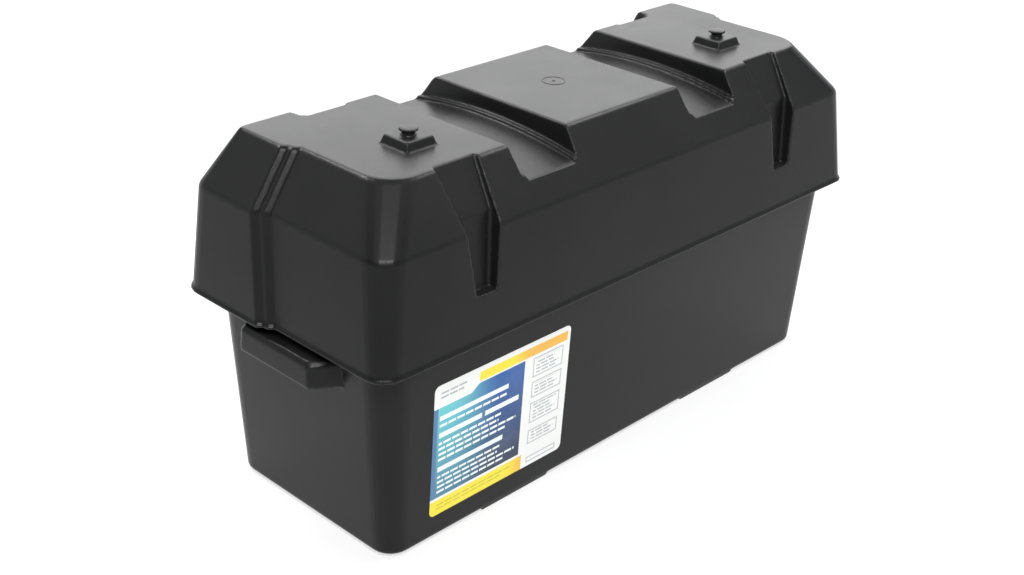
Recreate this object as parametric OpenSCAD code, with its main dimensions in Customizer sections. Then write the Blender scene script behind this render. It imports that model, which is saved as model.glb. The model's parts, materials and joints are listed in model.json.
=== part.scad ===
// Two 6 V deep cycle batteries wired in series inside a vented, lidded battery box.
// Millimetres. +X runs along the box, +Z up. The origin is on the ground, under the box's centre.
// The front long side faces -Y. The lid's cable bulges are at its two back corners.

/* [Lid] */
// Length of the lid over the lip at the foot of its skirt, measured beside the cable bulges
lid_l = 601.6; // [598:0.2:606]
// Width of the lid over that lip
lid_w = 239; // [237:0.5:243]
// Height of the foot of the skirt above the ground
skirt_z = 181; // [178:0.5:184]
// Height of the knee between the skirt and the slope
knee_z = 268; // [266:0.5:270]
// Height of the flat top
top_z = 313; // [311:0.5:315]
// How far the skirt leans in between its foot and the knee
skirt_lean = 8; // [7:0.1:9]
// How far the slope runs in from the knee at the ends
end_run = 32.4; // [30:0.2:34]
// How far the slope runs in from the knee along the front
front_run = 31.2; // [29:0.2:33]
// How far the slope runs in from the knee along the middle of the back
back_run = 34.4; // [32:0.2:36]
// How far the cable bulges stand out from the ends
bulge = 9; // [8:0.2:11]
// How far the cable bulges stand out from the back at the top
back_bulge = 12.8; // [11:0.2:14]
// Wall thickness of the lid
lid_wall = 3.4; // [3:0.1:3.8]
// Width of the lip round the skirt's foot
lip = 1.6; // [1:0.1:3]

/* [Strap channels] */
// Distance of each channel's centre from the box's centre
channel_x = 103.2; // [100:0.2:106]
// Width of a channel at the top
channel_w = 65.4; // [60:0.2:68]
// Width of a channel at its floor
channel_floor_w = 59.6; // [56:0.2:60]
// Height of the channel floor at its middle
channel_z = 297; // [296:0.2:299]
// Radius of the arched channel floor
channel_r = 520; // [480:1:560]
// Distance of the arch's crown behind the box's centre line
channel_y = 3; // [0:0.5:5]
// Height of the narrow ledge along the foot of each flank
ledge_h = 3; // [2:0.1:4]
// Width of that ledge
ledge_w = 2.4; // [2:0.1:4]

/* [Finger pockets] */
// Distance of each pocket's centre from the box's centre
pocket_x = 190; // [188:0.5:192]
// Width of a pocket at the top edge of the lid
pocket_top_w = 44; // [40:0.5:44]
// Width of a pocket at its floor
pocket_floor_w = 21; // [18:0.5:24]
// Height of a pocket's floor
pocket_z = 217; // [215:0.5:220]

/* [Vents in the lid] */
// Distance of each vent boss from the box's centre, along the box
boss_x = 191.5; // [189:0.5:194]
// Distance of each vent boss in front of the box's centre line
boss_y = 27; // [24:0.5:30]
// Side of the square foot of a boss
boss_side = 32; // [28:0.5:34]
// Height of a boss
boss_h = 7.5; // [6:0.5:9]
// Radius of the vent's stem and of its hole
vent_r = 4; // [3:0.1:5]
// Radius of the vent's mushroom head
vent_head_r = 7.6; // [7:0.1:9.5]

/* [Tub] */
// Length of the tub at its floor
tub_l = 553; // [550:1:556]
// Width of the tub at its floor
tub_w = 195.7; // [195:0.1:198]
// How far each end wall leans out per millimetre of height
tub_end_lean = 0.0595; // [0.05:0.0005:0.062]
// How far each side wall leans out per millimetre of height
tub_side_lean = 0.048; // [0.04:0.001:0.05]
// Wall thickness of the tub
tub_wall = 3.6; // [3:0.1:3.8]
// Height of the feet under the tub
foot_h = 2; // [1.5:0.1:3]
// Thickness of the tub's floor
floor_t = 4; // [3:0.1:4]
// Width of an end grip at its front face
grip_w = 87; // [80:1:92]
// Height of an end grip
grip_h = 22; // [20:0.5:24]
// How far an end grip's front face is from the box's centre
grip_x = 308; // [306:0.5:312]

/* [Battery] */
// Length of one battery
bat_l = 261; // [258:1:262]
// Width of one battery
bat_w = 178; // [175:1:180]
// Height of a battery case without its cover
case_h = 230; // [225:1:232]
// Gap between the two batteries
bat_gap = 4; // [3:0.5:6]
// Wall thickness of a battery case
case_wall = 4; // [3.5:0.1:4.5]
// Positive plates in one cell
plates_n = 6; // [4:1:6]
// Radius of a vent cap's stem hole in the cover
cap_hole_r = 12; // [11:0.1:13]
// Radius of the lead posts
post_r = 9; // [8:0.1:10]
// Radius of the terminal studs
stud_r = 4; // [3:0.1:5]
// Radius of the link cable with its sleeve
cable_r = 5.8; // [5:0.1:6.5]

/* [Hidden] */
sides = [-1, 1];
plastic = "#2b2c2e";
lead = "#8e9297";
eps = 0.01;

// ---- lid levels: foot of the skirt, knee, top ----
// Each level holds: end x, bulge x, front y, back y, back bulge y, y where the bulge starts,
// front corner radius, back corner radius.
lid_foot = [lid_l / 2 - lip, lid_l / 2 - lip + bulge, lid_w / 2 - lip, lid_w / 2 - lip - 0.9,
            lid_w / 2 - lip, 15, 18, 22];
lid_knee = [lid_foot[0] - skirt_lean, lid_foot[1] - skirt_lean, lid_foot[2] - skirt_lean,
            lid_foot[3] - skirt_lean, lid_foot[4] - skirt_lean + 0.9, 26, 22, 20];
lid_top = [lid_knee[0] - end_run, lid_knee[1] - end_run, lid_knee[2] - front_run,
           lid_knee[3] - back_run, lid_knee[3] - back_run + back_bulge, 28, 30, 6];
bulge_x = 213;        // where the back bulge meets the finger pocket
bulge_blend = 2.5;    // length of the S-shaped blend into the back bulge
bulge_taper = 0.4;    // how far a bulge's end face runs in towards its corner
step_pitch = 8.5;     // distance between the two slanted steps of a bulge
top_round = 2.2;      // radius of the rounded rim of the flat top
top_fall = [2.2, 1.1, 0.3, -0.3];
top_inset = [0, 0.4, 1.1, 3.1];

// ---- pockets ----
pocket_break_z = 276; // height where a pocket's back face turns upright
pocket_break_w = 36;
pocket_back_y = 97.7; // its back face at that height
pocket_floor_y = 105.4;
pocket_round = 2.4;

// ---- tub ----
rim_z = pocket_z - lid_wall;
tub_floor_z = foot_h + floor_t;
tub_corner = [19, 26];   // corner radius at the floor and at the rim
foot_span = [92, 172];   // from and to, along the box
foot_side = 0.5;         // how far a foot stops short of the tub's side
grip_z = 148;
grip_wall = 4;
label_span = [-234.5, -80.5, 21.5, 145.5];  // left, right, bottom and top on the front wall
label_t = 0.3;

// ---- batteries ----
bat_x = (bat_l + bat_gap) / 2;
case_z = tub_floor_z + case_h;
cover_skirt = 6;
deck_z = case_z + 16;
deck_t = 5;
partition_t = 3;
cell_pitch = (bat_l - 2 * case_wall + partition_t) / 3;
cells = [-1, 0, 1];
positive_t = 3.2;
negative_t = 2.4;
separator_t = 3.2;
plate_pitch = positive_t + negative_t + 2 * separator_t;
plate_w = 158;
plate_z = tub_floor_z + 16;
plate_top = 208;
strap_y = 48;
strap_z = 220;
strap_t = 8;
strap_w = 22;
lug_w = 14;
manifold = [244, 66, 5];  // raised middle of the cover
collar_r = 20;
collar_z = deck_z + manifold[2] + 3;
cap_clear = 0.05;
cap_flange_z = collar_z + 2.1;
slot_r = 15;
gasket_r = [15.6, 18.6];
post = [95, 50];
bushing_z = deck_z + 3;
pad_z = bushing_z + 6;
stud_top = 281;
lug_t = 3;
washer_t = 1.6;
nut_t = 6.5;
nut_af = 13;

// ---- helpers ----
function mix(a, b, t) = a + (b - a) * t;
function mix_all(a, b, t) = [for (i = [0:len(a) - 1]) mix(a[i], b[i], t)];
function arc_pts(cx, cy, r, a0, a1, n) =
  [for (i = [0:n]) let (a = mix(a0, a1, i / n)) [cx + r * cos(a), cy + r * sin(a)]];
function rounded_rect(x0, x1, y0, y1, r, n = 5) = concat(
  arc_pts(x1 - r, y0 + r, r, -90, 0, n), arc_pts(x1 - r, y1 - r, r, 0, 90, n),
  arc_pts(x0 + r, y1 - r, r, 90, 180, n), arc_pts(x0 + r, y0 + r, r, 180, 270, n));
function at_z(pts, z) = [for (p = pts) [p[0], p[1], z]];

// A closed solid through a stack of outlines that all have the same number of points.
module loft(rings) {
  n = len(rings[0]);
  m = len(rings);
  sides_f = [for (k = [0:m - 2], i = [0:n - 1])
    let (j = (i + 1) % n, a = k * n + i, b = k * n + j, c = a + n, d = b + n)
    each [[a, c, d], [a, d, b]]];
  polyhedron([for (r = rings) each r],
    concat([[for (i = [0:n - 1]) i]], sides_f, [[for (i = [n - 1:-1:0]) (m - 1) * n + i]]),
    convexity = 8);
}

// The part of such a solid between two heights. The stack reaches past both, so flat faces stay whole.
module loft_between(rings, z0, z1) {
  intersection() {
    loft(rings);
    translate([-400, -200, z0]) cube([800, 400, z1 - z0]);
  }
}

module slab(x0, x1, y0, y1, r, z0, z1) {
  translate([0, 0, z0]) linear_extrude(z1 - z0) polygon(rounded_rect(x0, x1, y0, y1, r));
}

module ring(r_out, r_in, z0, z1, fn = 64) {
  translate([0, 0, z0]) difference() {
    cylinder(r = r_out, h = z1 - z0, $fn = fn);
    translate([0, 0, -1]) cylinder(r = r_in, h = z1 - z0 + 2, $fn = fn);
  }
}

// ---- lid ----
function lid_level(z) = z < knee_z
  ? mix_all(lid_foot, lid_knee, (z - skirt_z) / (knee_z - skirt_z))
  : mix_all(lid_knee, lid_top, (z - knee_z) / (top_z - knee_z));

// Right half of the lid's outline at one level, drawn in by d all round, from front to back.
function lid_half(v, d) = let (
    end = v[0] - d, out = v[1] - d, front = v[2] - d, back = v[3] - d, bulged = v[4] - d,
    start = v[5] + d, rf = max(v[6] - d, 2), rb = max(v[7] - d, 2), rs = bulge / 2)
  concat(
    arc_pts(end - rf, rf - front, rf, -90, 0, 7),
    arc_pts(end, start - step_pitch + rs, rs, -90, 0, 1),
    arc_pts(end + rs, start + rs, rs, -90, 0, 1),
    arc_pts(out - bulge_taper - rb, bulged - rb, rb, 0, 90, 6),
    [for (i = [0:5]) let (t = i / 5)
      [bulge_x + d + bulge_blend * (1 - t), mix(bulged, back, (1 - cos(180 * t)) / 2)]]);

function lid_outline(z, d) = let (h = lid_half(lid_level(z), d), n = len(h))
  concat(h, [for (i = [n - 1:-1:0]) [-h[i][0], h[i][1]]]);

module lid_outside() {
  skirt = [[skirt_z - 4, 0.8 - lip], [skirt_z - 2.8, -lip], [skirt_z - 1.4, -lip],
           [skirt_z - 0.6, -0.6 * lip], [skirt_z + 0.6, 0], [knee_z - 1.5, 0], [knee_z + 1.5, 0]];
  rim = [for (i = [0:3]) [top_z - top_fall[i], top_inset[i]]];
  loft_between([for (s = concat(skirt, rim)) at_z(lid_outline(s[0], s[1]), s[0])],
    skirt_z - 3.2, top_z);
}

module lid_inside() {
  levels = [skirt_z - 8, knee_z, top_z + 2];
  loft_between([for (z = levels) at_z(lid_outline(z, lid_wall), z)], skirt_z - 7, top_z - lid_wall);
}

// Everything above the arched floor of a channel, inside the given half widths.
module above_arch(half_floor, edge, lift) {
  right = concat([[half_floor, 270]], edge);
  left = [for (i = [len(right) - 1:-1:0]) [-right[i][0], right[i][1]]];
  difference() {
    rotate([90, 0, 0]) translate([0, 0, -150]) linear_extrude(300) polygon(concat(right, left));
    translate([0, channel_y, channel_z - channel_r]) rotate([0, 90, 0])
      translate([0, 0, -50]) cylinder(r = channel_r + lift, h = 100, $fn = 240);
  }
}

module channel_cut() {
  half = channel_floor_w / 2;
  half_top = channel_w / 2;
  rounded_edge = [for (a = [0:26:78])
    [half_top + top_round * (1 - cos(a)), top_z - top_round * (1 - sin(a))]];
  above_arch(half, concat(rounded_edge, [[half_top + top_round + 0.6, top_z + 1]]), ledge_h);
  above_arch(half - ledge_w, [[half - ledge_w, top_z + 1]], 0);
}

module channel_wall() {
  above_arch(channel_floor_w / 2 + lid_wall, [[channel_w / 2 + lid_wall, top_z + 1]], -lid_wall);
}

// A finger pocket's space, grown by d, on the back. edge_y is its back face's distance at the flat top.
module pocket(edge_y, d) {
  function section(w, y, z) = at_z(rounded_rect(-w / 2 - d, w / 2 + d, y - d, 140, pocket_round + d, 4), z);
  at_floor = [pocket_floor_w, pocket_floor_y, pocket_z];
  at_break = [pocket_break_w, pocket_back_y, pocket_break_z];
  at_top = [pocket_top_w, edge_y, top_z];
  levels = [mix_all(at_break, at_floor, 1.2), at_break, mix_all(at_break, at_top, 1.1)];
  loft_between([for (v = levels) section(v[0], v[1], v[2])], pocket_z - d, top_z + 2);
}

module pockets(d) {
  front_edge = lid_top[2] - 4.4;
  back_edge = lid_top[3] - 4;
  for (sx = sides) translate([sx * pocket_x, 0, 0]) {
    mirror([0, 1, 0]) pocket(front_edge, d);
    pocket(back_edge, d);
  }
}

module vent_boss() {
  function square_at(s, z) = at_z(rounded_rect(-s / 2, s / 2, -s / 2, s / 2, 1.6, 3), z);
  loft_between([square_at(boss_side + 1.8, top_z - 3), square_at(boss_side - 4, top_z + boss_h - 0.8),
    square_at(boss_side - 8, top_z + boss_h + 1)], top_z - 2, top_z + boss_h);
}

module box_lid() {
  color(plastic) difference() {
    union() {
      difference() {
        lid_outside();
        for (sx = sides) translate([sx * channel_x, 0, 0]) channel_cut();
        pockets(0);
      }
      for (sx = sides) translate([sx * boss_x, -boss_y, 0]) vent_boss();
    }
    difference() {
      lid_inside();
      for (sx = sides) translate([sx * channel_x, 0, 0]) channel_wall();
      pockets(lid_wall);
    }
    for (sx = sides) translate([sx * boss_x, -boss_y, top_z - 20]) cylinder(r = vent_r, h = 40, $fn = 64);
  }
}

// A push-in mushroom vent: barbed hollow stem, flared neck and a domed head.
module lid_vent(sx) {
  z0 = top_z + boss_h;
  underside = top_z - lid_wall;
  bore_r = 1.8;
  color(plastic) translate([sx * boss_x, -boss_y, 0]) difference() {
    rotate_extrude($fn = 96) polygon([
      [0, underside - 4], [vent_r - 0.6, underside - 4], [vent_r + 0.9, underside - 0.8],
      [vent_r + 0.9, underside], [vent_r, underside], [vent_r, z0], [6.6, z0], [6.2, z0 + 0.6],
      [5.3, z0 + 1.2], [5, z0 + 2.4], [5.2, z0 + 3.4], [vent_head_r - 0.5, z0 + 3.7],
      [vent_head_r, z0 + 4.1], [vent_head_r, z0 + 5], [vent_head_r - 0.6, z0 + 5.6],
      [vent_head_r - 2.4, z0 + 6], [0, z0 + 6.2]]);
    translate([0, 0, underside - 5]) cylinder(r = bore_r, h = z0 - underside + 8.4, $fn = 48);
    for (a = [0, 90]) rotate([0, 90, a]) translate([-(z0 + 2.1), 0, -8]) cylinder(r = 0.7, h = 16, $fn = 24);
  }
}

// ---- tub ----
function tub_outline(z, d) = let (
    h = z - foot_h,
    x = tub_l / 2 + tub_end_lean * h - d,
    y = tub_w / 2 + tub_side_lean * h - d,
    r = mix(tub_corner[0], tub_corner[1], h / (rim_z - foot_h)) - d)
  rounded_rect(-x, x, -y, y, max(r, 3), 7);

module end_grip() {
  function plan(d) = let (half = grip_w / 2 - d, x = grip_x - d)
    [[283.5, d - 58], [x - 2.5, -half - 1.5], [x, 2 - half],
     [x, half - 2], [x - 2.5, half + 1.5], [283.5, 58 - d]];
  levels = [[grip_z - 1, 0], [grip_z + grip_h - 4, 0.9], [grip_z + grip_h + 1, 4.4]];
  difference() {
    loft_between([for (v = levels) at_z(plan(v[1]), v[0])], grip_z, grip_z + grip_h);
    translate([0, 0, grip_z - 1]) linear_extrude(grip_h - grip_wall + 1) polygon(plan(grip_wall));
  }
}

module box_tub() {
  outside = [[foot_h - 0.8, 4.2], [foot_h + 0.8, 1], [foot_h + 2.6, 0], [rim_z + 5, 0]];
  color(plastic) difference() {
    union() {
      loft_between([for (s = outside) at_z(tub_outline(s[0], s[1]), s[0])], foot_h, rim_z);
      for (turn = [0, 180]) rotate(turn) end_grip();
      for (turn = [0, 180]) rotate(turn)
        slab(foot_span[0], foot_span[1], foot_side - tub_w / 2, tub_w / 2 - foot_side, 3, 0, foot_h + 1);
    }
    loft_between([for (z = [foot_h, rim_z + 5]) at_z(tub_outline(z, tub_wall), z)], tub_floor_z, rim_z + 4);
  }
}

// A plain self-adhesive label on the front of the tub.
module front_label() {
  lean = atan(tub_side_lean);
  color("#f4f4f0") translate([0, -tub_w / 2, foot_h]) rotate([90 + lean, 0, 0])
    linear_extrude(label_t)
      polygon(rounded_rect(label_span[0], label_span[1], label_span[2], label_span[3], 5));
}

// ---- batteries ----
module at_battery(side) {
  translate([side * bat_x, 0, 0]) children();
}

module at_cells() {
  for (c = cells) translate([c * cell_pitch, 0, 0]) children();
}

module battery_case(side) {
  cell_l = cell_pitch - partition_t;
  cell_w = bat_w - 2 * case_wall;
  color("#7a1f24") at_battery(side) difference() {
    slab(-bat_l / 2, bat_l / 2, -bat_w / 2, bat_w / 2, 7, tub_floor_z, case_z);
    at_cells() difference() {
      slab(-cell_l / 2, cell_l / 2, -cell_w / 2, cell_w / 2, 3, tub_floor_z + 4, case_z + 1);
      for (y = [-60, -20, 20, 60])
        translate([-cell_l / 2 - 1, y - 2, tub_floor_z]) cube([cell_l + 2, 4, plate_z - tub_floor_z]);
    }
    // windows through the partitions for the straps between cells
    for (c = [-0.5, 0.5]) translate([c * cell_pitch, c * 4 * -strap_y / 2, strap_z + strap_t / 2])
      rotate([0, 90, 0]) translate([0, 0, -partition_t]) cylinder(r = 3.5, h = 2 * partition_t, $fn = 48);
  }
}

module battery_cover(side) {
  z0 = deck_z - deck_t;
  color("#232426") at_battery(side) difference() {
    union() {
      slab(-bat_l / 2, bat_l / 2, -bat_w / 2, bat_w / 2, 7, case_z, deck_z - 1);
      slab(-bat_l / 2 + 1, bat_l / 2 - 1, -bat_w / 2 + 1, bat_w / 2 - 1, 6, deck_z - 2, deck_z);
      slab(-manifold[0] / 2, manifold[0] / 2, -manifold[1] / 2, manifold[1] / 2, 8, z0, deck_z + manifold[2]);
      at_cells() cylinder(r = collar_r, h = collar_z, $fn = 72);
      for (s = sides) translate([s * post[0], s * post[1], z0]) cylinder(r = 17, h = bushing_z - z0, $fn = 72);
      for (s = sides) translate([0, s * (bat_w / 2 - 9), z0]) slab(-105, 105, -3, 3, 2.5, 0, deck_t + 4);
    }
    slab(case_wall - bat_l / 2, bat_l / 2 - case_wall, case_wall - bat_w / 2, bat_w / 2 - case_wall,
      4, -1, z0);
    at_cells() {
      cylinder(r = cap_hole_r, h = 400, $fn = 96);
      translate([-slot_r, -3.6, 0]) cube([2 * slot_r, 7.2, 400]);
    }
    for (s = sides) translate([s * post[0], s * post[1], 0]) cylinder(r = post_r, h = 400, $fn = 72);
  }
}

// Positive plates sit at the odd places of a cell's stack, negative plates at the even ones.
function stack_x(place) = (place - plates_n) * plate_pitch / 2;
function cell_sign(c) = c == 0 ? -1 : 1;

module plate(t, lug_y) {
  translate([-t / 2, -plate_w / 2, plate_z]) cube([t, plate_w, plate_top - plate_z]);
  translate([-t / 2, lug_y - lug_w / 2, plate_top - eps]) cube([t, lug_w, strap_z - plate_top + eps]);
}

module positive_plates(side) {
  color("#5d4037") at_battery(side) for (c = cells) translate([c * cell_pitch, 0, 0])
    for (i = [0:plates_n - 1]) translate([stack_x(2 * i + 1), 0, 0])
      plate(positive_t, cell_sign(c) * strap_y);
}

module negative_plates(side) {
  color(lead) at_battery(side) for (c = cells) translate([c * cell_pitch, 0, 0])
    for (i = [0:plates_n]) translate([stack_x(2 * i), 0, 0])
      plate(negative_t, -cell_sign(c) * strap_y);
}

module separators(side) {
  color("#e3dcc6") at_battery(side) for (c = cells) translate([c * cell_pitch, 0, 0])
    for (i = [0:plates_n - 1], s = sides)
      translate([stack_x(2 * i + 1) + s * (positive_t + separator_t) / 2 - separator_t / 2,
                 -plate_w / 2 - 3, plate_z])
        cube([separator_t, plate_w + 6, plate_top - plate_z + 4]);
}

// Cast lead straps over the plate lugs, joined from cell to cell through the partitions.
module cell_straps(side) {
  half = plates_n * plate_pitch / 2 + negative_t / 2;
  color(lead) at_battery(side) {
    for (c = cells, s = sides) translate([c * cell_pitch - half, s * strap_y - strap_w / 2, strap_z])
      cube([2 * half, strap_w, strap_t]);
    for (c = [-0.5, 0.5]) translate([c * cell_pitch, -2 * c * strap_y, strap_z + strap_t / 2])
      rotate([0, 90, 0]) translate([0, 0, half - cell_pitch / 2])
        cylinder(r = 3.5, h = cell_pitch - 2 * half, $fn = 48);
  }
}

// s is 1 for the positive post and -1 for the negative one.
module terminal_post(side, s) {
  color(lead) at_battery(side) translate([s * post[0], s * post[1], 0]) difference() {
    union() {
      translate([0, 0, strap_z + strap_t]) cylinder(r = post_r, h = bushing_z - strap_z - strap_t, $fn = 72);
      translate([0, 0, bushing_z]) cylinder(r = 14, h = pad_z - bushing_z, $fn = 72);
    }
    translate([0, 0, pad_z - 14]) cylinder(r = stud_r, h = 20, $fn = 48);
  }
}

module vent_gaskets(side) {
  color("#111111") at_battery(side) at_cells() ring(gasket_r[1], gasket_r[0], collar_z, collar_z + 2, 72);
}

// A quarter-turn cap: finger bar, flange, stem and two bayonet lugs under the cover.
module vent_cap(side, c) {
  r = cap_hole_r - cap_clear;
  lug_z = deck_z - deck_t - 0.3 - 3.4;
  flange_r = collar_r + 1;
  color("#c9a227") at_battery(side) translate([c * cell_pitch, 0, 0]) difference() {
    union() {
      rotate_extrude($fn = 96) polygon([
        [0, lug_z - 4], [r - 1.5, lug_z - 4], [r, lug_z - 2], [r, cap_flange_z], [flange_r - 0.6, cap_flange_z],
        [flange_r, cap_flange_z + 0.6], [flange_r, cap_flange_z + 2.6], [flange_r - 1.4, cap_flange_z + 4],
        [flange_r - 5, cap_flange_z + 4.8], [0, cap_flange_z + 5]]);
      slab(-4, 4, -16.5, 16.5, 3, cap_flange_z + 3, cap_flange_z + 11);
      translate([-2.8, -slot_r + 0.5, lug_z]) cube([5.6, 2 * slot_r - 1, 3.4]);
    }
    translate([0, 0, lug_z - 5]) cylinder(r = r - 3, h = cap_flange_z - lug_z + 4, $fn = 64);
    translate([0, 0, lug_z]) cylinder(r = 1, h = 60, $fn = 24);
  }
}

// ---- terminals: [x, y, height under the washer] ----
terminals = [for (side = sides, s = sides)
  [side * bat_x + s * post[0], s * post[1], side == -s ? pad_z + lug_t : pad_z]];
link_end = [bat_x - post[0], -post[1]];
link_angle = atan2(link_end[1], link_end[0]);
link_half = norm(link_end);
lug_hole = 13;   // distance from the stud to the end of a lug's flat palm
barrel_l = 22;
barrel_z = pad_z + cable_r + 1.6;

module terminal_studs() {
  color("#c9ccd0") for (t = terminals) translate([t[0], t[1], pad_z - 14])
    cylinder(r = stud_r, h = stud_top - pad_z + 14, $fn = 48);
}

module terminal_washers() {
  color("#c9ccd0") for (t = terminals) translate([t[0], t[1], 0]) ring(8.4, stud_r, t[2], t[2] + washer_t, 64);
}

module terminal_nuts() {
  color("#b9bcc0") for (t = terminals) translate([t[0], t[1], t[2] + washer_t]) difference() {
    cylinder(r = nut_af / 2 / cos(30), h = nut_t, $fn = 6);
    translate([0, 0, -1]) cylinder(r = stud_r, h = nut_t + 2, $fn = 48);
  }
}

// Both lugs of the link: a flat palm on the stud and a crimped barrel that holds the cable.
module link_lugs() {
  color("#c27a4a") for (turn = [0, 180]) rotate(link_angle + turn) {
    difference() {
      union() {
        translate([link_half, 0, pad_z]) cylinder(r = 10, h = lug_t, $fn = 64);
        translate([link_half - lug_hole - 8, -7.4, pad_z]) cube([lug_hole + 8, 14.8, lug_t]);
      }
      translate([link_half, 0, pad_z - 1]) cylinder(r = stud_r, h = 10, $fn = 48);
      translate([link_half - lug_hole - barrel_l, 0, barrel_z]) rotate([0, 90, 0])
        cylinder(r = cable_r + 1.6, h = barrel_l, $fn = 64);
    }
    translate([link_half - lug_hole - barrel_l, 0, barrel_z]) rotate([0, 90, 0]) difference() {
      cylinder(r = cable_r + 1.6, h = barrel_l, $fn = 64);
      translate([0, 0, -1]) cylinder(r = cable_r, h = barrel_l - 2, $fn = 64);
    }
  }
}

module link_cable() {
  reach = link_half - lug_hole - 3;
  color("#1d1d1f") rotate(link_angle) translate([-reach, 0, barrel_z]) rotate([0, 90, 0])
    cylinder(r = cable_r, h = 2 * reach, $fn = 64);
}

box_tub();
box_lid();
lid_vent(-1);  // lid_vent_left
lid_vent(1);  // lid_vent_right
front_label();
battery_case(-1);  // left_battery_case
battery_cover(-1);  // left_battery_cover
positive_plates(-1);  // left_positive_plates
negative_plates(-1);  // left_negative_plates
separators(-1);  // left_separators
cell_straps(-1);  // left_cell_straps
terminal_post(-1, 1);  // left_positive_post
terminal_post(-1, -1);  // left_negative_post
vent_gaskets(-1);  // left_vent_gaskets
vent_cap(-1, -1);  // left_vent_cap_1
vent_cap(-1, 0);  // left_vent_cap_2
vent_cap(-1, 1);  // left_vent_cap_3
battery_case(1);  // right_battery_case
battery_cover(1);  // right_battery_cover
positive_plates(1);  // right_positive_plates
negative_plates(1);  // right_negative_plates
separators(1);  // right_separators
cell_straps(1);  // right_cell_straps
terminal_post(1, 1);  // right_positive_post
terminal_post(1, -1);  // right_negative_post
vent_gaskets(1);  // right_vent_gaskets
vent_cap(1, -1);  // right_vent_cap_1
vent_cap(1, 0);  // right_vent_cap_2
vent_cap(1, 1);  // right_vent_cap_3
terminal_studs();
terminal_washers();
terminal_nuts();
link_lugs();
link_cable();
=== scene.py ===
import json
import math

import bmesh
import bpy
import numpy as np
from mathutils import Matrix, Vector

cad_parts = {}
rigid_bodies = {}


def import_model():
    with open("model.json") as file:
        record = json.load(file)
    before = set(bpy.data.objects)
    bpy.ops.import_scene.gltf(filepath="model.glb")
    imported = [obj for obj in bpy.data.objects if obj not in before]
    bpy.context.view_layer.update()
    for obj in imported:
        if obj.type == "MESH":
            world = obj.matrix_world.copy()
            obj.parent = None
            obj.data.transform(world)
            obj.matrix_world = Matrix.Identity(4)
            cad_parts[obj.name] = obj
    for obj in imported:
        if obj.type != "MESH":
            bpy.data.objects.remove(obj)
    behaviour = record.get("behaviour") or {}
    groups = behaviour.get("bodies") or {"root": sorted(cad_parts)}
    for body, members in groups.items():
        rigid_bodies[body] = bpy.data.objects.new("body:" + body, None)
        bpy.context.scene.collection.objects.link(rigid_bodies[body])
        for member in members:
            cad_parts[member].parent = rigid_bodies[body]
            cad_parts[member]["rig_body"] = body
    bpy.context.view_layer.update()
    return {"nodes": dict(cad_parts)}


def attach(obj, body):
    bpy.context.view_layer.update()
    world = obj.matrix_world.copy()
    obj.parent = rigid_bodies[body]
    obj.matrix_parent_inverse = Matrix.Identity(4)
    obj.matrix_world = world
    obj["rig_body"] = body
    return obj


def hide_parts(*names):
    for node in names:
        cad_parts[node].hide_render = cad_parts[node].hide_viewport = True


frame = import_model()
nodes = frame["nodes"]


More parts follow.
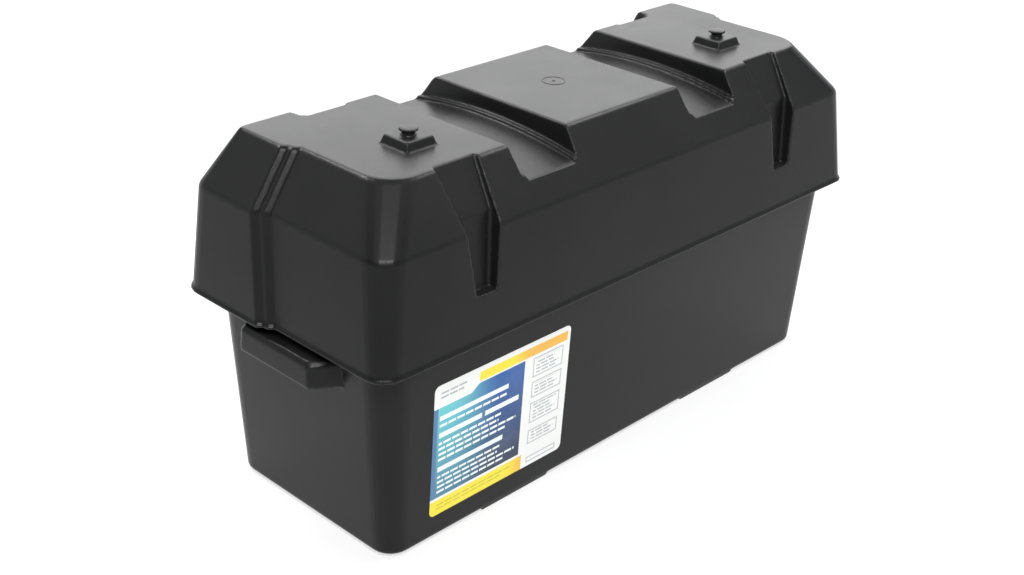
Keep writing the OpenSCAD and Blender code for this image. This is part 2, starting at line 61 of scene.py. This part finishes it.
# ---------------------------------------------------------------- shader helpers
class Shader:
    """A new material and short calls for the nodes that its surface needs.

    Lengths are in metres. Noise scales are cells per metre: 9 makes patches of about 110 mm, and 1500
    a grain of about 0.7 mm.
    """

    def __init__(self, name):
        self.material = bpy.data.materials.new(name)
        self.material.use_nodes = True
        self.tree = self.material.node_tree
        self.surface = next(n for n in self.tree.nodes if n.type == "BSDF_PRINCIPLED")
        self.place = self.node("ShaderNodeTexCoord").outputs["Object"]

    def node(self, kind, **settings):
        made = self.tree.nodes.new(kind)
        for key, value in settings.items():
            setattr(made, key, value)
        return made

    def put(self, socket, value):
        if isinstance(value, bpy.types.NodeSocket):
            self.tree.links.new(value, socket)
        else:
            socket.default_value = value

    def math(self, operation, a, b=0.0, c=0.0):
        made = self.node("ShaderNodeMath", operation=operation)
        for socket, value in zip(made.inputs, (a, b, c)):
            self.put(socket, value)
        return made.outputs[0]

    def ramp(self, value, low, high, to_low=0.0, to_high=1.0, smooth=False):
        made = self.node("ShaderNodeMapRange")
        if smooth:
            made.interpolation_type = "SMOOTHSTEP"
        for socket, v in zip(made.inputs, (value, low, high, to_low, to_high)):
            self.put(socket, v)
        return made.outputs[0]

    def noise(self, scale, detail=3.0, roughness=0.5, stretch=None):
        made = self.node("ShaderNodeTexNoise")
        place = self.place
        if stretch:
            mapping = self.node("ShaderNodeMapping")
            self.put(mapping.inputs["Vector"], place)
            mapping.inputs["Scale"].default_value = stretch
            place = mapping.outputs[0]
        self.put(made.inputs["Vector"], place)
        made.inputs["Scale"].default_value = scale
        made.inputs["Detail"].default_value = detail
        made.inputs["Roughness"].default_value = roughness
        return made.outputs[0]

    def cells(self, scale):
        made = self.node("ShaderNodeTexVoronoi")
        self.put(made.inputs["Vector"], self.place)
        made.inputs["Scale"].default_value = scale
        return made.outputs["Distance"]

    def mix(self, share, a, b):
        made = self.node("ShaderNodeMix", data_type="RGBA")
        self.put(made.inputs[0], share)
        for socket, value in ((made.inputs[6], a), (made.inputs[7], b)):
            self.put(socket, value if isinstance(value, bpy.types.NodeSocket) else (*value, 1.0))
        return made.outputs[2]

    def split(self, vector):
        """The three parts of a vector."""
        made = self.node("ShaderNodeSeparateXYZ")
        self.put(made.inputs[0], vector)
        return made.outputs

    def between(self, value, low, high):
        """1 where the value lies between the two, 0 elsewhere."""
        return self.math("COMPARE", value, (low + high) / 2, (high - low) / 2)

    def both(self, *masks):
        """1 where every mask is 1."""
        total = masks[0]
        for mask in masks[1:]:
            total = self.math("MULTIPLY", total, mask)
        return total

    def either(self, *masks):
        """1 where any mask is 1."""
        total = masks[0]
        for mask in masks[1:]:
            total = self.math("MAXIMUM", total, mask)
        return total

    def chance(self, value):
        """A fixed random number from 0 to 1 for each whole number."""
        made = self.node("ShaderNodeTexWhiteNoise", noise_dimensions="1D")
        self.put(made.inputs["W"], value)
        return made.outputs["Value"]

    def bump(self, height, distance, strength, under=None):
        made = self.node("ShaderNodeBump")
        self.put(made.inputs["Height"], height)
        made.inputs["Distance"].default_value = distance
        made.inputs["Strength"].default_value = strength
        if under:
            self.put(made.inputs["Normal"], under)
        return made.outputs[0]

    def set(self, **inputs):
        """Sets the surface's inputs, with _ for each space in a name, and gives the material."""
        for key, value in inputs.items():
            socket = self.surface.inputs[key.replace("_", " ")]
            if isinstance(value, tuple) and len(value) == 3:
                value = (*value, 1.0)
            self.put(socket, value)
        return self.material


def scaled(colour, factor, lift=0.0):
    """A colour made brighter or darker, kept at 1 or below."""
    return tuple(min(1.0, factor * c + lift) for c in colour)


# ---------------------------------------------------------------- materials
# Below polypropylene's real 1.49, so that the black stays as deep as it is in the photo.
PLASTIC_IOR = 1.28
DUST = (0.32, 0.31, 0.3)


def moulded_plastic(name, dark, light, rough, dust, grain=0.00006, edge_wear_and_highlight_share=0.3):
    """Satin polypropylene: fine spark-eroded grain, uneven sheen, scuffs, edges paled by wear and by a
    painted highlight, and a little dust.
    """
    s = Shader(name)
    edge = s.node("ShaderNodeAttribute", attribute_name="edge").outputs["Fac"]
    cloud = s.noise(9, 4, 0.6)
    speckle = s.noise(1500, 2, 0.6)
    pits = s.cells(1150)
    rubs = s.noise(60, 5, 0.65, stretch=(1.0, 6.0, 3.0))
    scuffs = s.ramp(rubs, 0.6, 0.74, smooth=True)
    # Pale edges: partly real wear, partly a painted highlight along every outward edge.
    worn_and_highlit_edges = s.math("MULTIPLY", s.ramp(edge, 0.25, 0.9), edge_wear_and_highlight_share)
    colour = s.mix(s.ramp(cloud, 0.35, 0.7), dark, light)
    colour = s.mix(worn_and_highlit_edges, colour, scaled(light, 2.6, 0.012))
    colour = s.mix(s.math("MULTIPLY", scuffs, 0.16), colour, scaled(light, 2.2))
    upward = s.split(s.node("ShaderNodeNewGeometry").outputs["Normal"])[2]
    settled = s.both(s.ramp(upward, 0.55, 0.98, smooth=True), s.ramp(s.noise(32, 6, 0.7), 0.3, 0.75))
    colour = s.mix(s.math("MULTIPLY", settled, dust), colour, DUST)
    roughness = s.ramp(cloud, 0.3, 0.7, rough - 0.035, rough + 0.035)
    roughness = s.math("ADD", roughness, s.math("MULTIPLY", scuffs, 0.06))
    roughness = s.math("SUBTRACT", roughness, s.math("MULTIPLY", edge, 0.05))
    grainy = s.math("ADD", s.math("MULTIPLY", speckle, 0.6), s.math("MULTIPLY", pits, 0.8))
    waves = s.bump(s.noise(14, 2), 0.0006, 0.22)
    return s.set(Base_Color=colour, Roughness=roughness, Normal=s.bump(grainy, grain, 0.75, under=waves),
                 IOR=PLASTIC_IOR)


def cast_metal(name, dark, light, rough, metallic, grain, stretch=None):
    """Metal with a cloudy oxide tone, fine tooling or casting grain and a few dull spots."""
    s = Shader(name)
    cloud = s.noise(55, 5, 0.65)
    grainy = s.noise(900, 3, 0.6, stretch=stretch)
    dull = s.ramp(s.noise(160, 4, 0.7), 0.56, 0.7, smooth=True)
    colour = s.mix(s.ramp(cloud, 0.32, 0.68), dark, light)
    colour = s.mix(s.math("MULTIPLY", dull, 0.35), colour, scaled(dark, 0.55))
    roughness = s.math("ADD", s.ramp(grainy, 0.3, 0.7, rough - 0.06, rough + 0.06),
                       s.math("MULTIPLY", dull, 0.15))
    return s.set(Base_Color=colour, Roughness=roughness, Metallic=metallic,
                 Normal=s.bump(grainy, grain, 0.6, under=s.bump(cloud, 4 * grain, 0.3)))


def rubber(name, dark, light):
    """Soft black rubber or cable sleeve with a bloom and fine pores."""
    s = Shader(name)
    bloom = s.ramp(s.noise(90, 5, 0.7), 0.4, 0.72, smooth=True)
    return s.set(Base_Color=s.mix(bloom, dark, light), Roughness=s.ramp(bloom, 0, 1, 0.5, 0.68), IOR=1.45,
                 Normal=s.bump(s.cells(1400), 0.00005, 0.7))


def porous_sheet(name, dark, light, rib_gap, rib_height):
    """Pressed paste or porous sheet: upright ribs, pores and blotches."""
    s = Shader(name)
    rib = s.math("PINGPONG", s.split(s.place)[1], rib_gap / 2)
    rib = s.ramp(rib, 0, rib_gap / 5, 1, 0, smooth=True)
    blotch = s.noise(70, 6, 0.7)
    pores = s.noise(1100, 3, 0.7)
    colour = s.mix(s.ramp(blotch, 0.3, 0.72), dark, light)
    colour = s.mix(s.math("MULTIPLY", s.ramp(pores, 0.5, 0.75), 0.4), colour, scaled(dark, 0.6))
    return s.set(Base_Color=colour, Roughness=s.ramp(pores, 0.3, 0.7, 0.72, 0.9),
                 Normal=s.bump(pores, 0.00012, 0.8, under=s.bump(rib, rib_height, 1.0)))


# The label's print, in millimetres: x0 and x1 along the box from its middle, z0 and z1 up from the
# ground. Rows of broken bars also have their pitch and the share of it that is filled.
WHITE_BARS = ((-228, -152, 114, 118.4), (-228, -181, 97.8, 102.6), (-177.5, -139, 97.8, 102.6),
              (-228, -155, 65.5, 70.2))
WHITE_ROWS = ((-228, -138, 107, 111.6, 4.6, 0.5), (-228, -137, 74.5, 95, 5.1, 0.46),
              (-228, -136, 43.5, 63, 4.8, 0.44))
YELLOW_STRIPS = ((-186, -84, 133.8, 142.5), (-236, -130, 20, 38))
YELLOW_ROWS = (-229, -140, 27.5, 34.5, 3.5, 0.4)
TITLE_ROWS = (-228, -198, 133.5, 141.5, 4, 0.42)
PICTURE_SPAN = (-124, -88)
PICTURE_HEIGHTS = ((112, 131), (92, 108), (67, 87), (46, 60), (27, 33))
PICTURE_LINE = 1.4
PANEL_SPAN = (-240, -134)                 # past the label's left edge, so that the panel reaches it
PANEL_FOOT = 40.5
PANEL_STEP = (-196, -184, 126.5, 132.5)   # its top edge rises from x0 to x1, between the two heights
PANEL_MARGIN = -230                       # a plain blue strip lies left of this
DASHES_PER_MM = 0.105
DASH_GAP = 0.14                           # share of each dash that is left open
RAGGED = 0.3                              # most that a row may fall short of its block


def printed_label(name):
    """A printed film: white ground, a blue panel with plain white bars, grey frames, yellow strips."""
    s = Shader(name)
    across, _, up = s.split(s.place)
    x = s.math("MULTIPLY", across, 1000)
    z = s.math("MULTIPLY", up, 1000)

    def block(x0, x1, z0, z1):
        return s.both(s.between(x, x0, x1), s.between(z, z0, z1))

    def rows(x0, x1, z0, z1, pitch, fill):
        """Thin broken bars of uneven length, where small print would be."""
        row = s.math("DIVIDE", s.math("SUBTRACT", z, z0), pitch)
        luck = s.chance(s.math("FLOOR", row))
        end = s.math("SUBTRACT", x1, s.math("MULTIPLY", luck, RAGGED * (x1 - x0)))
        dash = s.math("FRACT", s.math("ADD", s.math("MULTIPLY", x, DASHES_PER_MM),
                                      s.math("MULTIPLY", luck, 7)))
        return s.both(s.between(s.math("FRACT", row), 0.5 - fill / 2, 0.5 + fill / 2),
                      s.math("LESS_THAN", x, end), s.math("GREATER_THAN", dash, DASH_GAP),
                      block(x0, x1, z0, z1))

    def picture(low, high):
        """A grey frame with a few rows in it."""
        left, right = PICTURE_SPAN
        inside = block(left + PICTURE_LINE, right - PICTURE_LINE, low + PICTURE_LINE, high - PICTURE_LINE)
        line = s.math("SUBTRACT", block(left, right, low, high), inside)
        return s.either(s.math("MULTIPLY", line, 0.8),
                        rows(left + 4, right - 4, low + 2.5, high - 2.5, 3.2, 0.45))

    # The blue panel: teal at its left, deep blue at its right, with a rising top edge.
    upward = s.ramp(z, 45, 128)
    left_tone = s.mix(upward, (0.045, 0.20, 0.32), (0.11, 0.56, 0.60))
    right_tone = s.mix(upward, (0.004, 0.020, 0.060), (0.0, 0.085, 0.34))
    tone = s.mix(s.ramp(s.ramp(x, -232, -136), 0.12, 0.75, smooth=True), left_tone, right_tone)
    tone = s.mix(s.math("LESS_THAN", x, PANEL_MARGIN), tone, (0.06, 0.17, 0.34))
    top_edge = s.ramp(x, *PANEL_STEP, smooth=True)
    panel = s.both(s.between(x, *PANEL_SPAN), s.math("LESS_THAN", z, top_edge),
                   s.math("GREATER_THAN", z, PANEL_FOOT))
    white_print = s.either(*(block(*bar) for bar in WHITE_BARS), *(rows(*bars) for bars in WHITE_ROWS))
    colour = s.mix(panel, (0.83, 0.84, 0.82), tone)
    colour = s.mix(s.both(panel, white_print), colour, (0.80, 0.86, 0.88))

    # The yellow strips turn orange to the right.
    strip_tone = s.mix(s.ramp(x, -150, -126, smooth=True), (0.86, 0.72, 0.02), (0.85, 0.45, 0.04))
    colour = s.mix(s.either(*(block(*strip) for strip in YELLOW_STRIPS)), colour, strip_tone)
    colour = s.mix(s.math("MULTIPLY", rows(*YELLOW_ROWS), 0.6), colour, (0.42, 0.36, 0.02))
    greys = s.either(rows(*TITLE_ROWS), *(picture(*heights) for heights in PICTURE_HEIGHTS))
    colour = s.mix(s.math("MULTIPLY", greys, 0.75), colour, (0.25, 0.29, 0.34))

    haze = s.noise(45, 5, 0.65)
    scuffs = s.ramp(s.noise(120, 4, 0.7, stretch=(1, 1, 5)), 0.6, 0.72, smooth=True)
    colour = s.mix(s.math("MULTIPLY", s.ramp(haze, 0.35, 0.75), 0.09), colour, (0.55, 0.53, 0.48))
    roughness = s.math("ADD", s.ramp(haze, 0.3, 0.7, 0.32, 0.42), s.math("MULTIPLY", scuffs, 0.12))
    waves = s.bump(s.noise(26, 2), 0.0003, 0.2)
    return s.set(Base_Color=colour, Roughness=roughness,
                 Normal=s.bump(s.noise(500, 2), 0.00003, 0.5, under=waves))


# ---------------------------------------------------------------- mesh helpers
EDGE_RADIUS = 0.0035      # an edge at least this tight counts as fully worn and gets the full painted highlight
SMOOTH_ROUNDS = 2         # passes that round a remeshed shell's edges
SPREAD_ROUNDS = 2         # passes that spread the wear and the painted highlight to its neighbours


def new_object(name, mesh, body, material):
    made = bpy.data.objects.new(name, mesh)
    bpy.context.scene.collection.objects.link(made)
    made.data.materials.clear()
    made.data.materials.append(material)
    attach(made, body)
    return made


def vertex_vectors(mesh, kind):
    values = np.empty(len(mesh.vertices) * 3, np.float32)
    mesh.vertices.foreach_get(kind, values)
    return values.reshape(-1, 3).astype(float)


def store_edge_wear_and_highlight(mesh):
    """Stores how sharply the surface turns outward at each vertex, from 0 to 1, as "edge", which pales
    edges for wear and for a painted highlight.
    """
    count = len(mesh.vertices)
    co, no = vertex_vectors(mesh, "co"), vertex_vectors(mesh, "normal")
    ends = np.empty(len(mesh.edges) * 2, np.int32)
    mesh.edges.foreach_get("vertices", ends)
    a, b = ends.reshape(-1, 2).T
    along = co[b] - co[a]
    length = np.maximum(np.linalg.norm(along, axis=1), 1e-6)
    turn = np.einsum("ij,ij->i", no[b] - no[a], along) / length ** 2
    total, share = np.zeros(count), np.zeros(count)
    for end in (a, b):
        np.add.at(total, end, turn * length)
        np.add.at(share, end, length)
    value = np.clip(total / np.maximum(share, 1e-9) * EDGE_RADIUS, 0, 1)
    for _ in range(SPREAD_ROUNDS):
        spread, links = value.copy(), np.ones(count)
        for end, other in ((a, b), (b, a)):
            np.add.at(spread, end, value[other])
            np.add.at(links, end, 1)
        value = spread / links
    mesh.attributes.new("edge", "FLOAT", "POINT").data.foreach_set("value", value.astype(np.float32))


def softened(node, name, voxel, share, material, draw_in=0.0):
    """The CAD node with every edge rounded as a moulding's is: a fine remesh, smoothed and thinned.

    share is how many of the remesh's faces stay. draw_in pulls the surface in, where a turning piece
    needs clear room in its bore.
    """
    made = new_object(name, nodes[node].data.copy(), nodes[node]["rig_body"], material)
    remesh = made.modifiers.new("remesh", "REMESH")
    remesh.mode = "VOXEL"
    remesh.voxel_size = voxel
    remesh.use_smooth_shade = True
    smooth = made.modifiers.new("smooth", "SMOOTH")
    smooth.iterations = SMOOTH_ROUNDS
    thin = made.modifiers.new("thin", "DECIMATE")
    thin.ratio = share
    if draw_in:
        shrink = made.modifiers.new("shrink", "DISPLACE")
        shrink.strength = -draw_in
        shrink.mid_level = 0
    baked = bpy.data.meshes.new_from_object(made.evaluated_get(bpy.context.evaluated_depsgraph_get()))
    made.modifiers.clear()
    made.data = baked
    made.data.shade_smooth()
    store_edge_wear_and_highlight(made.data)
    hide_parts(node)


def lathe(name, rings, centre, body, material, sides=96):
    """A closed solid of revolution about the upright axis through centre; rings are (radius, height)."""
    bm = bmesh.new()
    angles = [2 * math.pi * i / sides for i in range(sides)]
    loops = [[bm.verts.new((centre[0] + r * math.cos(a), centre[1] + r * math.sin(a), centre[2] + h))
              for a in angles] for r, h in rings]
    for k, loop in enumerate(loops):
        after = loops[(k + 1) % len(loops)]
        for i in range(sides):
            j = (i + 1) % sides
            bm.faces.new((loop[i], loop[j], after[j], after[i]))
    bmesh.ops.recalc_face_normals(bm, faces=bm.faces)
    mesh = bpy.data.meshes.new(name)
    bm.to_mesh(mesh)
    bm.free()
    new_object(name, mesh, body, material)
    mesh.shade_smooth()


def finish_node(name, material, ease=0.0):
    """A CAD node shown as it is, with its own material and, if asked, eased edges."""
    shown = nodes[name]
    shown.data.materials.clear()
    shown.data.materials.append(material)
    if ease:
        bevel = shown.modifiers.new("ease", "BEVEL")
        bevel.width = ease
        bevel.segments = 2
        bevel.angle_limit = math.radians(40)


# ---------------------------------------------------------------- the box
lid_voxel = 0.0011
tub_voxel = 1.15 * lid_voxel
# The box's edges are paled more strongly: wear plus a painted highlight along the rims and pocket edges.
black = moulded_plastic("black_plastic", (0.0056, 0.0057, 0.0060), (0.0088, 0.0088, 0.0091), 0.33, 0.03,
                        edge_wear_and_highlight_share=0.35)
softened("box_lid", "lid_shell", lid_voxel, 0.2, black)
softened("box_tub", "tub_shell", tub_voxel, 0.2, black)
finish_node("lid_vent_left", black)
finish_node("lid_vent_right", black)
finish_node("front_label", printed_label("label"))

# The moulding's gate mark, in the middle of the lid's middle flat: a low ring round a pip.
GATE = (0.0, 0.0, 0.313)
SUNK = -0.0006            # how far the mark's underside lies in the lid
gate_ring = ((0.0094, SUNK), (0.0094, 0.0001), (0.0097, 0.0003), (0.0101, 0.0003), (0.0104, 0.0001),
             (0.0104, SUNK))
gate_pip = ((0.00002, SUNK), (0.00002, 0.0005), (0.0009, 0.0005), (0.0014, 0.0001), (0.0014, SUNK))
lathe("gate_ring", gate_ring, GATE, "lid", black)
lathe("gate_pip", gate_pip, GATE, "lid", black, sides=32)

# ---------------------------------------------------------------- the batteries
case = moulded_plastic("battery_case", (0.115, 0.010, 0.013), (0.160, 0.016, 0.019), 0.38, 0.05)
cover = moulded_plastic("battery_cover", (0.010, 0.010, 0.011), (0.017, 0.017, 0.018), 0.42, 0.08)
amber = moulded_plastic("vent_cap", (0.62, 0.27, 0.010), (0.76, 0.38, 0.020), 0.26, 0.04, grain=0.00003)
lead = cast_metal("lead", (0.20, 0.205, 0.215), (0.36, 0.365, 0.38), 0.46, 0.85, 0.00012)
steel = cast_metal("stainless", (0.52, 0.525, 0.53), (0.66, 0.66, 0.66), 0.26, 1.0, 0.00002,
                   stretch=(1, 1, 9))
tinned = cast_metal("copper", (0.48, 0.30, 0.20), (0.66, 0.46, 0.34), 0.34, 1.0, 0.00004,
                    stretch=(1, 1, 4))
paste = porous_sheet("positive_paste", (0.060, 0.030, 0.020), (0.115, 0.062, 0.042), 0.011, 0.0004)
sheet = porous_sheet("separator", (0.48, 0.43, 0.32), (0.66, 0.61, 0.49), 0.013, 0.0006)
seal = rubber("seal_rubber", (0.010, 0.010, 0.010), (0.026, 0.026, 0.026))
sleeve = rubber("cable_sleeve", (0.009, 0.009, 0.010), (0.020, 0.020, 0.021))

# Each battery's shown nodes: name, material and how far its edges are eased.
BATTERY_NODES = (
    ("battery_case", case, 0.0008),
    ("positive_plates", paste, 0.0),
    ("negative_plates", lead, 0.0),
    ("separators", sheet, 0.0),
    ("cell_straps", lead, 0.0008),
    ("positive_post", lead, 0.0008),
    ("negative_post", lead, 0.0008),
    ("vent_gaskets", seal, 0.0004),
)
cover_voxel = 0.0009
cap_voxel = 0.6 * cover_voxel
CAP_DRAW_IN = 0.00012     # keeps the remeshed caps clear of their bores as they turn
for side in ("left", "right"):
    for part, material, ease in BATTERY_NODES:
        finish_node(f"{side}_{part}", material, ease)
    softened(f"{side}_battery_cover", f"{side}_cover_shell", cover_voxel, 0.35, cover)
    for number in (1, 2, 3):
        cap = f"{side}_vent_cap_{number}"
        softened(cap, f"{cap}_shell", cap_voxel, 0.25, amber, CAP_DRAW_IN)
finish_node("terminal_studs", steel, 0.0004)
finish_node("terminal_washers", steel, 0.0003)
finish_node("terminal_nuts", steel, 0.0005)
finish_node("link_lugs", tinned, 0.0004)
finish_node("link_cable", sleeve, 0.0004)

# ---------------------------------------------------------------- the camera
CAMERA_PLACE = Vector((-0.9172, -0.8308, 0.7374))
CAMERA_YAW, CAMERA_PITCH, CAMERA_ROLL = (math.radians(turn) for turn in (46.458, 26.765, 1.960))


def look(eye, yaw, pitch, roll):
    """The camera's matrix: yaw from +Y towards +X, pitch below the horizon, roll about the view."""
    ahead = Vector((math.sin(yaw) * math.cos(pitch), math.cos(yaw) * math.cos(pitch), -math.sin(pitch)))
    right = Vector((math.cos(yaw), -math.sin(yaw), 0))
    up = right.cross(ahead)
    side = math.cos(roll) * right + math.sin(roll) * up
    top = math.cos(roll) * up - math.sin(roll) * right
    turned = Matrix((side, top, -ahead)).transposed().to_4x4()
    return Matrix.Translation(eye) @ turned


camera = bpy.data.objects.new("camera", bpy.data.cameras.new("camera"))
bpy.context.scene.collection.objects.link(camera)
camera.matrix_world = look(CAMERA_PLACE, CAMERA_YAW, CAMERA_PITCH, CAMERA_ROLL)
camera.data.sensor_width = 36
camera.data.lens = 53.2
bpy.context.scene.camera = camera

# ---------------------------------------------------------------- the floor
FLOOR_HALF = 9            # half the floor's side
FLOOR_DROP = 0.0002       # how far it lies under the box's feet

floor_mesh = bpy.data.meshes.new("floor")
grid = bmesh.new()
bmesh.ops.create_grid(grid, x_segments=1, y_segments=1, size=FLOOR_HALF)
grid.to_mesh(floor_mesh)
grid.free()
floor = bpy.data.objects.new("floor", floor_mesh)
bpy.context.scene.collection.objects.link(floor)
floor.location.z = -FLOOR_DROP

# A pale floor that glows softly: more beside the box, less round it, and more again far out.
ground = Shader("floor")
away = ground.node("ShaderNodeVectorMath", operation="LENGTH")
ground.put(away.inputs[0], ground.place)
near_glow = ground.ramp(away.outputs["Value"], 0.45, 0.9, 0.63, 0.34, smooth=True)
far_glow = ground.ramp(away.outputs["Value"], 1.0, 2.6, 0, 0.6)
floor_mesh.materials.append(ground.set(
    Base_Color=(0.32, 0.32, 0.32), Roughness=0.8, Emission_Color=(1, 1, 1),
    Emission_Strength=ground.math("ADD", near_glow, far_glow)))

# ---------------------------------------------------------------- the lamps
BOX_MIDDLE = (0, 0, 0.3)
LEFT_PART = (-0.2, 0, 0.3)

# Name, place, what it points at, width and height in metres, power in watts.
LAMPS = (
    ("back_panel", (1.75, 1.65, 1.5), BOX_MIDDLE, 3.2, 1.6, 50),
    ("rim_box", (0.85, 0.8, 2.0), BOX_MIDDLE, 1.3, 0.6, 22),
    ("rim_left", (-0.5, 1.25, 1.8), (-0.1, 0, 0.3), 0.9, 0.3, 22),
    ("rim_right", (1.3, -0.5, 1.75), (0.1, 0, 0.3), 0.9, 0.3, 19),
    ("end_panel", (-1.6, 1.55, 1.35), (-0.3, 0, 0.3), 1.4, 1.0, 4),
    ("front_panel", (1.5, -1.6, 1.3), (0.1, 0, 0.3), 1.6, 1.0, 5),
    ("strip_left", (-1.30, -0.75, 1.75), LEFT_PART, 0.12, 0.7, 21),
    ("strip_right", (-0.75, -1.30, 1.75), LEFT_PART, 0.12, 0.7, 21),
)


def area_light(name, place, target, width, height, power):
    data = bpy.data.lights.new(name, "AREA")
    data.shape = "RECTANGLE"
    data.size = width
    data.size_y = height
    data.energy = power
    lamp = bpy.data.objects.new(name, data)
    bpy.context.scene.collection.objects.link(lamp)
    lamp.location = place
    lamp.rotation_mode = "QUATERNION"
    lamp.rotation_quaternion = (Vector(target) - Vector(place)).to_track_quat("-Z", "Y")


for lamp in LAMPS:
    area_light(*lamp)

# A pale wall at the height of the horizon, under a dimmer ceiling.
WALL_TOP, CEILING_START = 0.07, 0.28   # heights on the sky's unit sphere
WALL_GLOW, CEILING_GLOW = 0.9, 0.16
world = bpy.data.worlds.new("studio")
world.use_nodes = True
sky = world.node_tree
direction = sky.nodes.new("ShaderNodeTexCoord").outputs["Generated"]
height = sky.nodes.new("ShaderNodeSeparateXYZ")
sky.links.new(direction, height.inputs[0])
dim = sky.nodes.new("ShaderNodeMapRange")
dim.interpolation_type = "SMOOTHSTEP"
sky.links.new(height.outputs[2], dim.inputs[0])
for socket, value in zip(dim.inputs[1:5], (WALL_TOP, CEILING_START, WALL_GLOW, CEILING_GLOW)):
    socket.default_value = value
background = sky.nodes["Background"]
background.inputs["Color"].default_value = (0.94, 0.97, 1.0, 1)
sky.links.new(dim.outputs[0], background.inputs["Strength"])
bpy.context.scene.world = world
bpy.context.scene.view_settings.view_transform = "Standard"
